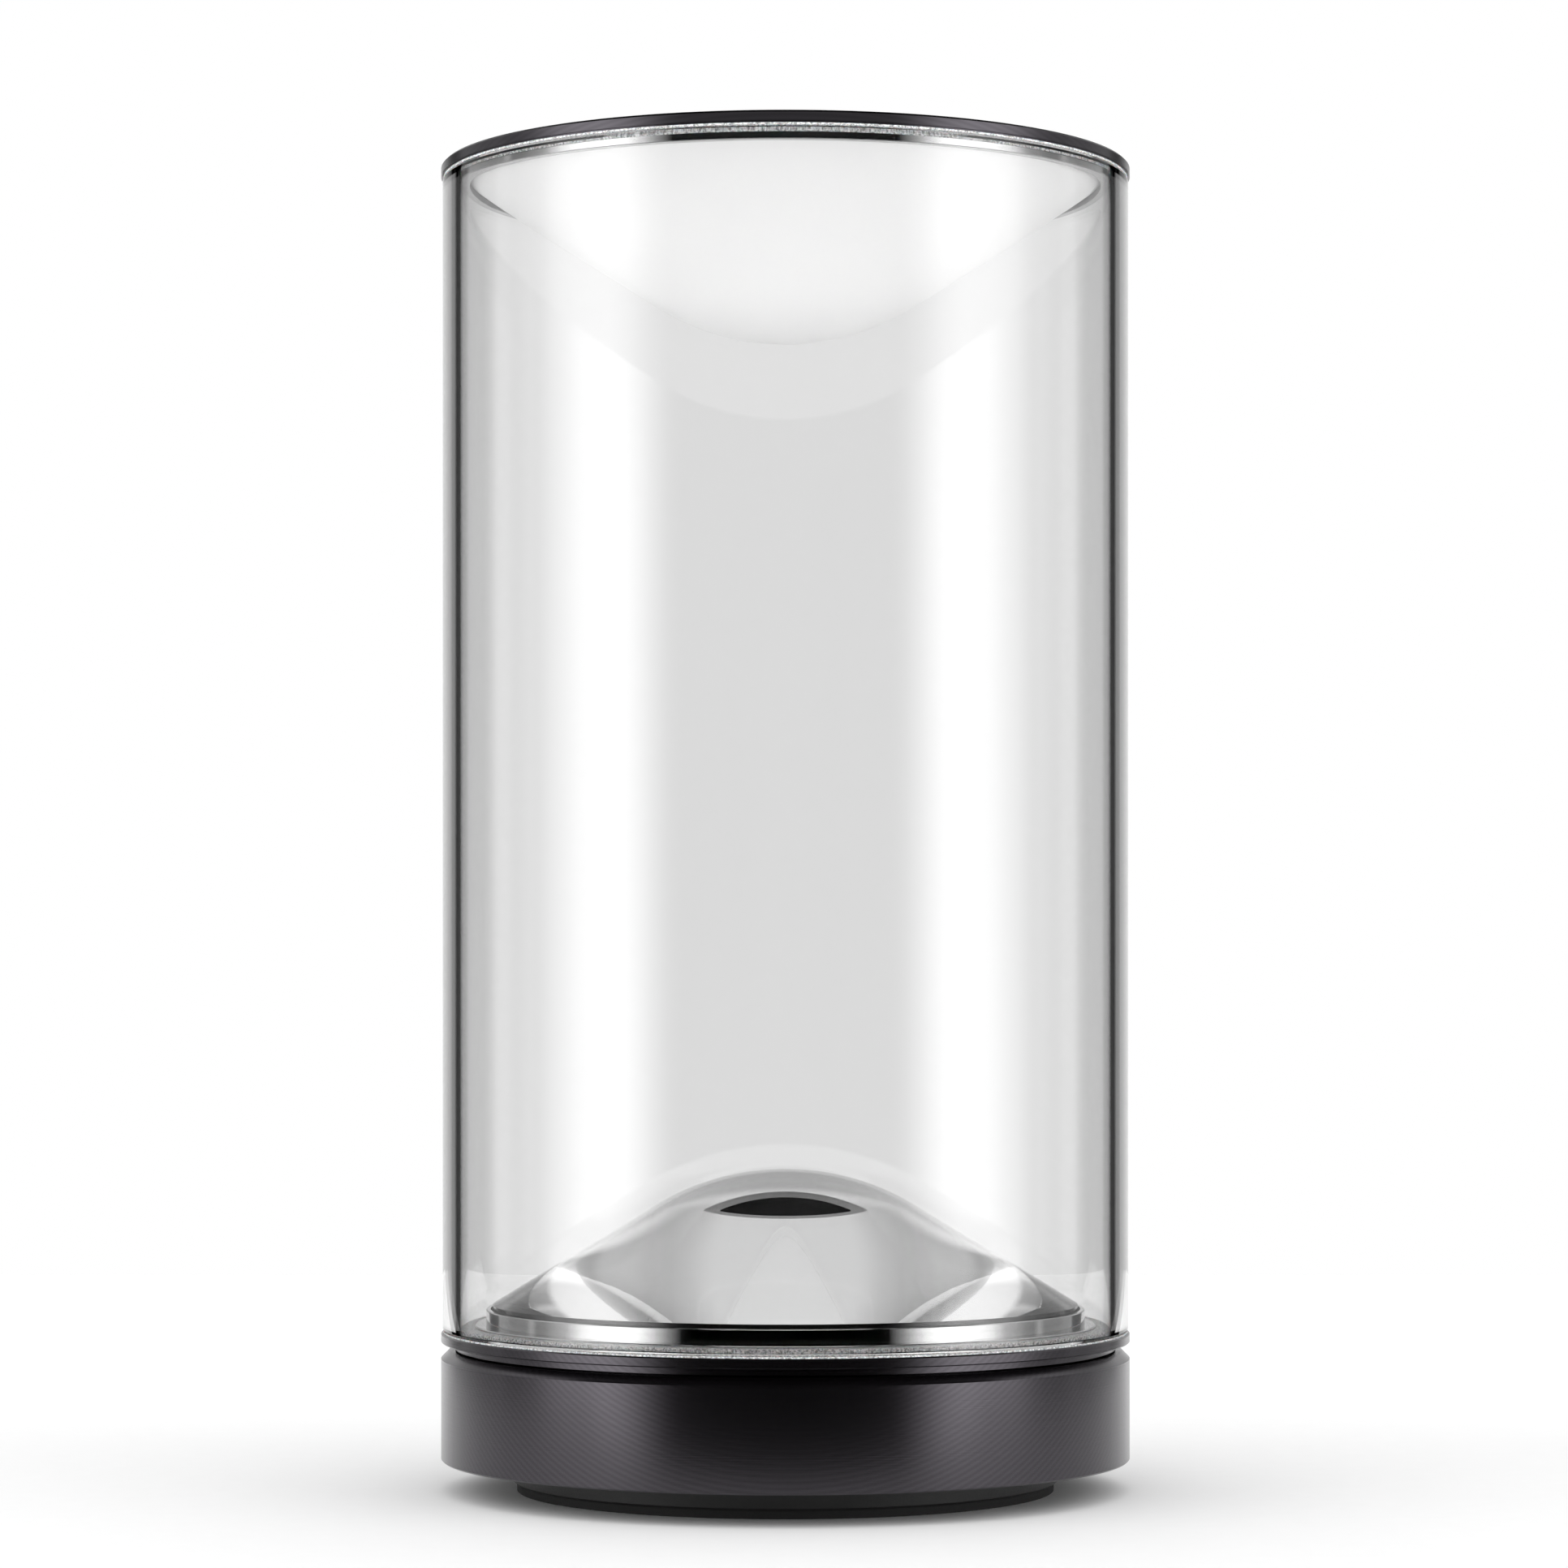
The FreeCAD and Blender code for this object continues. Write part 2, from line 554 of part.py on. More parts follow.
def spindle():
    """Hollow shaft with a thin head bonded into the well's floor and a snap-ring groove."""
    hub_r = SPINDLE_R + HUB_W
    return turned([
        (SPINDLE_BORE_R, MAGNET_Z0), (SPINDLE_END_R, MAGNET_Z0), (SPINDLE_END_R, MAGNET_Z1),
        (SPINDLE_R, MAGNET_Z1), (SPINDLE_R, CLIP_Z0), (SPINDLE_R - CLIP_GROOVE, CLIP_Z0),
        (SPINDLE_R - CLIP_GROOVE, CLIP_Z1), (SPINDLE_R, CLIP_Z1), (SPINDLE_R, WELL_FLOOR_Z1 - HUB_T),
        (hub_r, WELL_FLOOR_Z1 - HUB_T), (hub_r, WELL_FLOOR_Z1), (SPINDLE_BORE_R, WELL_FLOOR_Z1),
    ])


def thrust_washer():
    return ring(SPINDLE_R, SPINDLE_R + WASHER_W, CLIP_Z1, WASHER_Z1)


def snap_ring():
    """Open retaining ring in the spindle groove."""
    clip_r = SPINDLE_R + CLIP_W
    body = ring(SPINDLE_R - CLIP_GROOVE, clip_r, CLIP_Z0, CLIP_Z1)
    return body.cut(box(0, -clip_r, CLIP_Z0, CLIP_OPENING, clip_r, CLIP_T))


def encoder_magnet():
    return ring(SPINDLE_END_R, MAGNET_R, MAGNET_Z0, MAGNET_Z1)


# ---- head: light, lens and reflector ----------------------------------------------------------
def light_board():
    """Metal-cored disc that carries the light and spreads its heat into the well."""
    body = rod(WELL_R - LIGHT_BOARD_FIT, WELL_FLOOR_Z1, LIGHT_BOARD_Z1)
    for x, y in light_screw_places():
        body = body.cut(rod(M2_R, WELL_FLOOR_Z1, LIGHT_BOARD_Z1, x, y))
    return body


def light_screws():
    """Small pan-head screws that hold the light's board down, tips flush with the relief."""
    tip_z = GLIDE_Z1 + WELL_RELIEF
    screws = []
    for x, y in light_screw_places():
        head = rod(M2_HEAD_R, LIGHT_BOARD_Z1, LIGHT_BOARD_Z1 + M2_HEAD_T, x, y)
        slot_z = LIGHT_BOARD_Z1 + M2_HEAD_T - M2_SLOT_DEPTH
        head = head.cut(box(x, y, slot_z, 3 * M2_HEAD_R, M2_SLOT_W, M2_SLOT_DEPTH))
        screws.append(head.fuse(rod(M2_R, tip_z, LIGHT_BOARD_Z1, x, y)).removeSplitter())
    return Part.makeCompound(screws)


def light_source():
    return rounded_slab(0, 0, LIGHT_BOARD_Z1, LIGHT_SIZE, LIGHT_SIZE, LIGHT_T, LIGHT_CORNER)


def light_lead():
    """Two-core lead up the hollow spindle to the underside of the light's board."""
    return rod(LEAD_R, MAGNET_Z0, WELL_FLOOR_Z1, LEAD_OFFSET, 0)


def glass_bead():
    """Frosted bead of sealant between the glass and the lens bezel."""
    return ring(BEAD_R_IN, BEAD_R_OUT, BEAD_Z0, FLANGE_Z1 + BEAD_H)


def lens_bezel():
    """Polished stepped ring that holds the lens in the flange."""
    e = BEZEL_EDGE
    step_z = FLANGE_Z1 + BEZEL_STEP_H
    return turned([
        (WELL_R, FLANGE_Z1), (BEZEL_R, FLANGE_Z1), (BEZEL_R, step_z - e), (BEZEL_R - e, step_z),
        (LOW_RIM_R, step_z), (LOW_RIM_R, BEZEL_Z1 - e), (LOW_RIM_R - e, BEZEL_Z1), (WELL_R, BEZEL_Z1),
    ])


def lens_sleeve():
    """Black sleeve round the lens, with the lip between the lens and the light's board."""
    top_z = BEZEL_Z1 - SLEEVE_TOP_GAP
    return turned([
        (LENS_R - SLEEVE_LIP_W, LIGHT_BOARD_Z1), (WELL_R, LIGHT_BOARD_Z1),
        (WELL_R, top_z), (LENS_R, top_z), (LENS_R, LENS_Z0), (LENS_R - SLEEVE_LIP_W, LENS_Z0),
    ])


def flare(apex_z, tip_r, slope, r_end, up):
    """Points of a round tip running tangent into a cone: tip, mid-arc, tangent and cone end.

    up is +1 for a tip that points up and -1 for one that hangs down.
    """
    a = math.radians(slope)
    zc = apex_z - up * tip_r
    t = V(tip_r * math.sin(a), 0, zc + up * tip_r * math.cos(a))
    mid = V(tip_r * math.sin(a / 2), 0, zc + up * tip_r * math.cos(a / 2))
    end = V(r_end, 0, t.z - up * (r_end - t.x) * math.tan(a))
    return V(0, 0, apex_z), mid, t, end


def lens():
    """Solid clear lens: round tip and cone above, plain cylinder and flat face below."""
    top, mid, t, end = flare(LOW_APEX_Z, LOW_TIP_R, LOW_SLOPE, LENS_R, 1)
    foot = V(LENS_R, 0, LENS_Z0)
    centre = V(0, 0, LENS_Z0)
    section = [
        Part.Arc(top, mid, t).toShape(), Part.makeLine(t, end), Part.makeLine(end, foot),
        Part.makeLine(foot, centre), Part.makeLine(centre, top),
    ]
    return Part.Face(Part.Wire(section)).revolve(V(0, 0, 0), UP, 360)


def reflector_cone():
    """Spun cone that hangs from the cap, tip down, with a boss inside for its stud."""
    o_top, o_mid, o_t, o_end = flare(HIGH_APEX_Z, HIGH_TIP_R, HIGH_SLOPE, HIGH_RIM_R, -1)
    i_top, i_mid, i_t, i_end = flare(
        HIGH_APEX_Z + CONE_T, HIGH_TIP_R - CONE_T, HIGH_SLOPE, HIGH_RIM_R - CONE_T, -1)
    o_foot = V(HIGH_RIM_R, 0, CAP_Z0)
    i_foot = V(HIGH_RIM_R - CONE_T, 0, CAP_Z0)
    section = [
        Part.Arc(o_top, o_mid, o_t).toShape(), Part.makeLine(o_t, o_end),
        Part.makeLine(o_end, o_foot), Part.makeLine(o_foot, i_foot), Part.makeLine(i_foot, i_end),
        Part.makeLine(i_end, i_t), Part.Arc(i_t, i_mid, i_top).toShape(), Part.makeLine(i_top, o_top),
    ]
    body = Part.Face(Part.Wire(section)).revolve(V(0, 0, 0), UP, 360)
    boss = rod(CONE_BOSS_R, HIGH_APEX_Z + CONE_T / 2, HIGH_BOSS_Z1)
    boss = boss.cut(rod(STUD_R, HIGH_BOSS_Z1 - STUD_GRIP, HIGH_BOSS_Z1))
    return body.fuse(boss).removeSplitter()


def cone_stud():
    z0 = HIGH_BOSS_Z1 - STUD_GRIP
    return rod(STUD_R, z0, z0 + STUD_L)


# ---- head: glass and cap ---------------------------------------------------------------------
def glass_tube():
    e = GLASS_EDGE
    return turned([
        (BORE_R + e, GLASS_Z0), (GLASS_R - e, GLASS_Z0), (GLASS_R, GLASS_Z0 + e),
        (GLASS_R, GLASS_Z1 - e), (GLASS_R - e, GLASS_Z1), (BORE_R + e, GLASS_Z1),
        (BORE_R, GLASS_Z1 - e), (BORE_R, GLASS_Z0 + e),
    ])


def lower_gasket():
    """Frosted silicone bed under the glass."""
    return ring(BORE_R + GASKET_INSET, GLASS_R - GASKET_INSET, FLANGE_Z1, GLASS_Z0)


def upper_gasket():
    """Frosted silicone bed between the glass and the cap."""
    return ring(BORE_R + GASKET_INSET, GLASS_R - GASKET_INSET, GLASS_Z1, CAP_Z0)


def spigot_ring():
    """Polished ring that centres the glass on the cap, tongued into the cap."""
    e = SPIGOT_EDGE
    z0 = CAP_Z0 - SPIGOT_H
    bond_z = CAP_Z0 - BOND_H
    top_z = CAP_Z0 + REGISTER_DEPTH
    return turned([
        (HIGH_RIM_R, z0), (SPIGOT_R - e, z0), (SPIGOT_R, z0 + e), (SPIGOT_R, bond_z),
        (BOND_R_IN, bond_z), (BOND_R_IN, top_z), (HIGH_RIM_R, top_z),
    ])


def bond_ring():
    """Clear frosted bond line between the spigot ring and the glass."""
    return ring(BOND_R_IN, SPIGOT_R, CAP_Z0 - BOND_H, CAP_Z0)


def top_cap():
    """Turned cap with a shadow lip under its edge and a threaded boss for the cone's stud."""
    body = turned([
        (0, CAP_Z0), (BODY_R - CAP_LIP, CAP_Z0), (BODY_R - CAP_LIP, CAP_Z0 + CAP_LIP),
        (BODY_R, CAP_Z0 + CAP_LIP), (BODY_R, OVERALL_H - CAP_EDGE),
        (BODY_R - CAP_EDGE, OVERALL_H), (0, OVERALL_H),
    ])
    body = body.cut(ring(HIGH_RIM_R, BOND_R_IN, CAP_Z0, CAP_Z0 + REGISTER_DEPTH))
    boss = rod(CAP_BOSS_R, HIGH_BOSS_Z1, CAP_Z0)
    boss = boss.cut(rod(STUD_R, HIGH_BOSS_Z1, HIGH_BOSS_Z1 + STUD_L - STUD_GRIP))
    return body.fuse(boss).removeSplitter()


PARTS = {
    "foot_pad": foot_pad, "bottom_cover": bottom_cover, "cover_screws": cover_screws,
    "base_shell": base_shell, "glide_ring": glide_ring, "spindle_bush": spindle_bush,
    "battery_tray": battery_tray, "battery_cells": battery_cells, "control_board": control_board,
    "board_screws": board_screws, "usb_socket": usb_socket, "hall_sensor": hall_sensor,
    "driver_chip": driver_chip, "charge_chip": charge_chip, "power_inductor": power_inductor,
    "battery_connector": battery_connector,
    "seat_flange": seat_flange, "stop_pin": stop_pin, "spindle": spindle,
    "thrust_washer": thrust_washer, "snap_ring": snap_ring, "encoder_magnet": encoder_magnet,
    "light_board": light_board, "light_screws": light_screws, "light_source": light_source,
    "light_lead": light_lead, "glass_bead": glass_bead, "lens_bezel": lens_bezel,
    "lens_sleeve": lens_sleeve, "lens": lens, "lower_gasket": lower_gasket,
    "glass_tube": glass_tube, "upper_gasket": upper_gasket, "bond_ring": bond_ring,
    "spigot_ring": spigot_ring, "reflector_cone": reflector_cone, "cone_stud": cone_stud,
    "top_cap": top_cap,
}

os.makedirs("parts", exist_ok=True)
for node, make in PARTS.items():
    shape = make()
    shape.exportStep("parts/" + node + ".step")
    print(node, "valid" if shape.isValid() else "INVALID", len(shape.Solids),
          "solids, volume", round(shape.Volume, 2))
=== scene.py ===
"""The looks of a cordless table lantern: clear glass between a turned black base and a thin cap.

Metres, +Z up, origin at the middle of the foot, front towards -Y. The head twists on the base.
"""
import math

import bmesh
import bpy
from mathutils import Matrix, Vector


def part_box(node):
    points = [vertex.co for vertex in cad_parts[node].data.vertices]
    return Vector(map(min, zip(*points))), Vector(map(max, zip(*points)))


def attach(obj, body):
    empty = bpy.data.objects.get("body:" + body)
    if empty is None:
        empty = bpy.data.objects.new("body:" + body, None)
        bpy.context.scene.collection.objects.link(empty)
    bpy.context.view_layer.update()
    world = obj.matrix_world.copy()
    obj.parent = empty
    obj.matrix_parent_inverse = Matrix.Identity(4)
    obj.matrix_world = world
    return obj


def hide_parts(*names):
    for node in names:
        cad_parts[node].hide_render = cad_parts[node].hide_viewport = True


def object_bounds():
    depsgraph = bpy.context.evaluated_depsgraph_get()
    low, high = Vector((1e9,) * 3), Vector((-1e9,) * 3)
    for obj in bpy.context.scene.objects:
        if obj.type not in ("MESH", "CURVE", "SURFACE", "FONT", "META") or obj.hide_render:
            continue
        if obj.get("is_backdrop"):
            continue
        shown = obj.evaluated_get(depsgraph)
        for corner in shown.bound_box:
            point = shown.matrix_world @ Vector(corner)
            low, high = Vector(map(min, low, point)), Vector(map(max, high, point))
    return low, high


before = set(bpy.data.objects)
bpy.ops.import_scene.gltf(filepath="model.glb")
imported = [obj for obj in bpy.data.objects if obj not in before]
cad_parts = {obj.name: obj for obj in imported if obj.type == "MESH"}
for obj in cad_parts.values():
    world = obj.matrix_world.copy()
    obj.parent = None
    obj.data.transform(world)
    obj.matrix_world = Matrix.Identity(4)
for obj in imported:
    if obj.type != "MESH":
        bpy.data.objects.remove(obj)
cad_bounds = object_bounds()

MM = 0.001


# ---- foot: rubber ring and moulded cover -----------------------------------------------------
# A ring of black silicone rubber is bonded under the plinth of a moulded black cover. The cover
# closes the base from below with four countersunk screws. Both are matt, with a fine moulded grain.
def add(tree, kind, feeds=None, **settings):
    """One shader node with its settings, and a value or another node's output on its sockets."""
    made = tree.nodes.new("ShaderNode" + kind)
    for name, value in settings.items():
        setattr(made, name, value)
    for socket, feed in (feeds or {}).items():
        if isinstance(feed, bpy.types.NodeSocket):
            tree.links.new(feed, made.inputs[socket])
        else:
            made.inputs[socket].default_value = feed
    return made


def blend_colour(tree, factor, first, second):
    made = add(tree, "Mix", {0: factor, 6: first, 7: second}, data_type="RGBA")
    return made.outputs[2]


def spread(tree, factor, low, high):
    """A 0 to 1 pattern stretched between two values."""
    return add(tree, "MapRange", {"Value": factor, "To Min": low, "To Max": high}).outputs[0]


def grey(value):
    return (value, value, value, 1.0)


def new_finish(name, **plain):
    """A material with one Principled shader, whose plain values go straight on its sockets."""
    material = bpy.data.materials.new(name)
    material.use_nodes = True
    tree = material.node_tree
    shader = tree.nodes["Principled BSDF"]
    for socket, value in plain.items():
        shader.inputs[socket.replace("_", " ")].default_value = value
    return material, tree, shader


def raise_grain(tree, shader, height, depth, strength=1.0):
    """A height pattern on the surface, depth in metres."""
    bump = add(tree, "Bump", {"Strength": strength, "Distance": depth, "Height": height})
    tree.links.new(bump.outputs[0], shader.inputs["Normal"])


def coat(material, *nodes):
    """CAD nodes take this finish in place of their plain one."""
    for name in nodes:
        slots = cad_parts[name].data.materials
        slots.clear()
        slots.append(material)


def open_group(name, inputs, outputs):
    """An empty shader node group with float inputs and the named outputs."""
    tree = bpy.data.node_groups.new(name, "ShaderNodeTree")
    for label, value in inputs.items():
        socket = tree.interface.new_socket(label, in_out="INPUT", socket_type="NodeSocketFloat")
        socket.default_value = value
    for label in outputs:
        tree.interface.new_socket(label, in_out="OUTPUT", socket_type="NodeSocketFloat")
    return tree, tree.nodes.new("NodeGroupInput"), tree.nodes.new("NodeGroupOutput")


def moulded_grain_group():
    """Spark-eroded mould grain: fine pits over slow patches. Grain is the pit size in metres."""
    tree, given, out = open_group("moulded_grain", {"Grain": 0.0003}, ("Pits", "Patches"))
    place = add(tree, "TexCoord").outputs["Object"]
    scale = add(tree, "Math", {0: 1.0, 1: given.outputs["Grain"]}, operation="DIVIDE").outputs[0]
    pits = add(tree, "TexNoise", {"Vector": place, "Scale": scale, "Detail": 2.0, "Roughness": 0.6})
    patches = add(tree, "TexNoise", {"Vector": place, "Scale": 60.0, "Detail": 4.0})
    tree.links.new(pits.outputs[0], out.inputs["Pits"])
    tree.links.new(patches.outputs[0], out.inputs["Patches"])
    return tree


moulded_grain = moulded_grain_group()
PIT_DEPTH = 0.03 * MM
GLOSS_SPREAD = 0.08


def moulded(name, dark, light, grain, rough):
    """Moulded plastic or rubber: colour patches, uneven gloss and fine pits."""
    material, tree, shader = new_finish(name)
    pattern = add(tree, "Group", node_tree=moulded_grain)
    pattern.inputs["Grain"].default_value = grain
    shade = blend_colour(tree, pattern.outputs["Patches"], dark, light)
    tree.links.new(shade, shader.inputs["Base Color"])
    gloss = spread(tree, pattern.outputs["Pits"], rough - GLOSS_SPREAD, rough + GLOSS_SPREAD)
    tree.links.new(gloss, shader.inputs["Roughness"])
    raise_grain(tree, shader, pattern.outputs["Pits"], PIT_DEPTH)
    return material


coat(moulded("silicone_rubber", grey(0.006), grey(0.014), 0.00025, 0.72), "foot_pad")
coat(moulded("black_moulding", grey(0.008), grey(0.016), 0.0004, 0.5), "bottom_cover")


# ---- base shell, seat flange and cap: turned and black anodised -------------------------------
# Three pieces turned from aluminium bar, with the fine rings of the finishing cut left on, then
# anodised black with a faint violet cast. A light chatter leaves shallow arcs across the rings.
def turned_rings_group():
    """Rings of a finishing cut. Pitch is their spacing in metres."""
    tree, given, out = open_group("turned_rings", {"Pitch": 0.0002},
                                  ("Rings", "Bands", "Chatter"))
    place = add(tree, "TexCoord").outputs["Object"]
    split = add(tree, "SeparateXYZ", {0: place})
    flat = add(tree, "CombineXYZ", {0: split.outputs[0], 1: split.outputs[1]})
    radius = add(tree, "VectorMath", {0: flat.outputs[0]}, operation="LENGTH").outputs["Value"]
    feed = add(tree, "Math", {0: radius, 1: split.outputs[2]}, operation="ADD").outputs[0]
    turns = add(tree, "Math", {0: feed, 1: given.outputs["Pitch"]}, operation="DIVIDE").outputs[0]
    rings = add(tree, "TexNoise", {"W": turns, "Scale": 1.0, "Detail": 1.0},
                noise_dimensions="1D")
    bands = add(tree, "TexNoise", {"W": feed, "Scale": 1600.0, "Detail": 3.0},
                noise_dimensions="1D")
    pole = add(tree, "VectorMath", {0: place, 1: (0.0, -0.06, 0.075)}, operation="SUBTRACT")
    chatter = add(tree, "TexWave", {"Vector": pole.outputs[0], "Scale": 330.0, "Distortion": 0.6,
                                    "Detail": 1.0, "Detail Scale": 0.2},
                  wave_type="RINGS", rings_direction="SPHERICAL")
    tree.links.new(rings.outputs[0], out.inputs["Rings"])
    tree.links.new(bands.outputs[0], out.inputs["Bands"])
    tree.links.new(chatter.outputs["Fac"], out.inputs["Chatter"])
    return tree


turned_rings = turned_rings_group()
ANODISED_PITCH = 0.22 * MM
ANODISED_DEPTH = 0.0015 * MM


def black_anodise():
    material, tree, shader = new_finish("black_anodise", Metallic=1.0)
    cut = add(tree, "Group", node_tree=turned_rings)
    cut.inputs["Pitch"].default_value = ANODISED_PITCH
    shade = blend_colour(tree, cut.outputs["Bands"], (0.072, 0.067, 0.075, 1),
                         (0.078, 0.073, 0.081, 1))
    chatter = spread(tree, cut.outputs["Chatter"], 0.84, 1.0)
    shade = add(tree, "Mix", {0: 1.0, 6: shade, 7: chatter}, data_type="RGBA",
                blend_type="MULTIPLY").outputs[2]
    tree.links.new(shade, shader.inputs["Base Color"])
    tree.links.new(spread(tree, cut.outputs["Rings"], 0.19, 0.23), shader.inputs["Roughness"])
    raise_grain(tree, shader, cut.outputs["Rings"], ANODISED_DEPTH)
    return material


coat(black_anodise(), "base_shell", "seat_flange", "top_cap")


# ---- swivel: glide ring, bush, spindle, washer, clip, magnet and stop ------------------------
# The head turns on an acetal glide ring and an oiled bronze bush. The hollow aluminium spindle is
# held by a wave washer and a blackened snap ring, and a nickel-plated ring magnet tells the board
# how far it has turned. A steel pin in a blind groove stops it at both ends.
def turned_metal(name, dark, light, pitch, smooth, rough, depth=0.000003):
    """Bare or plated turned metal: bands of colour and uneven gloss along the rings."""
    material, tree, shader = new_finish(name, Metallic=1.0)
    cut = add(tree, "Group", node_tree=turned_rings)
    cut.inputs["Pitch"].default_value = pitch
    tree.links.new(blend_colour(tree, cut.outputs["Bands"], dark, light),
                   shader.inputs["Base Color"])
    tree.links.new(spread(tree, cut.outputs["Rings"], smooth, rough), shader.inputs["Roughness"])
    raise_grain(tree, shader, cut.outputs["Rings"], depth)
    return material


bare_aluminium = turned_metal("bare_aluminium", grey(0.62), grey(0.74), 0.0003, 0.22, 0.38)
zinc_steel = turned_metal("zinc_steel", (0.5, 0.5, 0.48, 1), (0.66, 0.66, 0.64, 1), 0.0002,
                          0.25, 0.45)
coat(moulded("acetal", grey(0.74), grey(0.82), 0.0005, 0.38), "glide_ring")
coat(turned_metal("oiled_bronze", (0.42, 0.26, 0.10, 1), (0.58, 0.38, 0.17, 1), 0.0002,
                  0.3, 0.5), "spindle_bush")
coat(bare_aluminium, "spindle")
coat(turned_metal("blackened_spring", grey(0.10), grey(0.16), 0.0003, 0.35, 0.5),
     "thrust_washer", "snap_ring")
coat(turned_metal("nickel", (0.62, 0.60, 0.56, 1), (0.70, 0.68, 0.64, 1), 0.0004, 0.12, 0.2),
     "encoder_magnet")
coat(zinc_steel, "stop_pin", "cover_screws", "board_screws", "light_screws", "cone_stud")


# ---- power: cells, tray, board and charging inlet --------------------------------------------
# Two foil pouch cells lie in a grey moulded tray in the plinth. The control board hangs from the
# deck behind them, with its chips, choke and battery header, and the charging inlet at the back.
def foil_pouch():
    """Aluminium pouch foil: soft crinkles under a dull clear film."""
    material, tree, shader = new_finish("foil_pouch", Metallic=0.85, Roughness=0.34)
    place = add(tree, "TexCoord").outputs["Object"]
    crinkle = add(tree, "TexNoise", {"Vector": place, "Scale": 140.0, "Detail": 5.0,
                                     "Distortion": 1.4})
    shade = blend_colour(tree, crinkle.outputs[0], (0.42, 0.44, 0.47, 1), (0.62, 0.63, 0.65, 1))
    tree.links.new(shade, shader.inputs["Base Color"])
    raise_grain(tree, shader, crinkle.outputs[0], 0.00015, 0.6)
    return material


def circuit_board(name, mask, track, scale):
    """Solder mask over copper: tracks show through as a slightly lighter, raised maze."""
    material, tree, shader = new_finish(name, Roughness=0.32)
    place = add(tree, "TexCoord").outputs["Object"]
    cells = add(tree, "TexVoronoi", {"Vector": place, "Scale": scale}, distance="CHEBYCHEV",
                feature="F1")
    steps = add(tree, "Math", {0: cells.outputs["Distance"], 1: 6.0}, operation="MULTIPLY")
    rails = add(tree, "Math", {0: steps.outputs[0], 1: 1.0}, operation="PINGPONG").outputs[0]
    tracks = add(tree, "MapRange", {"Value": rails, "From Min": 0.35, "From Max": 0.5},
                 clamp=True).outputs[0]
    tree.links.new(blend_colour(tree, tracks, mask, track), shader.inputs["Base Color"])
    raise_grain(tree, shader, tracks, 0.00004)
    return material


coat(foil_pouch(), "battery_cells")
coat(moulded("grey_moulding", grey(0.07), grey(0.10), 0.0004, 0.5), "battery_tray")
coat(circuit_board("green_board", (0.008, 0.075, 0.028, 1), (0.02, 0.14, 0.06, 1), 260.0),
     "control_board")
coat(moulded("chip_epoxy", grey(0.012), grey(0.022), 0.0001, 0.55), "hall_sensor", "driver_chip",
     "charge_chip", "power_inductor")
coat(moulded("nylon_header", (0.66, 0.63, 0.54, 1), (0.74, 0.71, 0.62, 1), 0.0002, 0.35),
     "battery_connector")
coat(turned_metal("drawn_steel", grey(0.55), grey(0.68), 0.0001, 0.16, 0.3), "usb_socket")


# ---- light -----------------------------------------------------------------------------------
# One square block of yellow phosphor gel sits on a white metal-cored disc in the bottom of the
# well. Three small screws hold the disc down, and a thin black lead comes up through the spindle.
coat(circuit_board("white_board", grey(0.72), grey(0.80), 900.0), "light_board")
coat(moulded("phosphor_gel", (0.78, 0.56, 0.10, 1), (0.88, 0.68, 0.18, 1), 0.0003, 0.3),
     "light_source")
coat(moulded("lead_sheath", grey(0.01), grey(0.018), 0.0003, 0.55), "light_lead")


# ---- lens ------------------------------------------------------------------------------------
# A thick lens of cast acrylic, turned and polished clear: round tip, straight cone, plain side and
# flat underside. It sits in a matt black sleeve that shows as a dark fleck through the tip.
SPIN_STEPS = 384
SHARP_EDGE = math.radians(25.0)
ARC_POINTS = 60
LENS_TIP_R = 44.38 * MM
LENS_SLOPE = 30.96
ACRYLIC_INDEX = 1.49


def spin_round(name, corners, stands_for, closed=True):
    """A solid turned about the axis from its half section, carried by the head."""
    mesh = bmesh.new()
    section = [mesh.verts.new((r, 0.0, z)) for r, z in corners]
    ends = section[1:] + section[:1] if closed else section[1:]
    sides = [mesh.edges.new((a, b)) for a, b in zip(section, ends)]
    bmesh.ops.spin(mesh, geom=section + sides, axis=(0, 0, 1), cent=(0, 0, 0), steps=SPIN_STEPS,
                   angle=2 * math.pi, use_merge=True)
    bmesh.ops.remove_doubles(mesh, verts=mesh.verts, dist=1e-7)
    bmesh.ops.recalc_face_normals(mesh, faces=mesh.faces)
    data = bpy.data.meshes.new(name)
    mesh.to_mesh(data)
    mesh.free()
    data.shade_smooth()
    data.set_sharp_from_angle(angle=SHARP_EDGE)
    piece = bpy.data.objects.new(name, data)
    bpy.context.scene.collection.objects.link(piece)
    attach(piece, "head")
    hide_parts(stands_for)
    return piece


def flare(tip_z, up, tip_radius, slope, end_r):
    """Half section from a round tip into a straight cone that ends at the given radius."""
    tilt = math.radians(slope)
    centre = tip_z - up * tip_radius
    arc = [(tip_radius * math.sin(tilt * i / ARC_POINTS),
            centre + up * tip_radius * math.cos(tilt * i / ARC_POINTS))
           for i in range(ARC_POINTS + 1)]
    last_r, last_z = arc[-1]
    return arc + [(end_r, last_z - up * (end_r - last_r) * math.tan(tilt))]


def clear_solid(name, index, dark, light):
    """Clear polished glass or acrylic with the faintest drift of tint."""
    material, tree, shader = new_finish(name, Roughness=0.0, IOR=index, Transmission_Weight=1.0,
                                        Metallic=0.0)
    place = add(tree, "TexCoord").outputs["Object"]
    drift = add(tree, "TexNoise", {"Vector": place, "Scale": 12.0, "Detail": 1.0})
    tree.links.new(blend_colour(tree, drift.outputs[0], dark, light), shader.inputs["Base Color"])
    return material


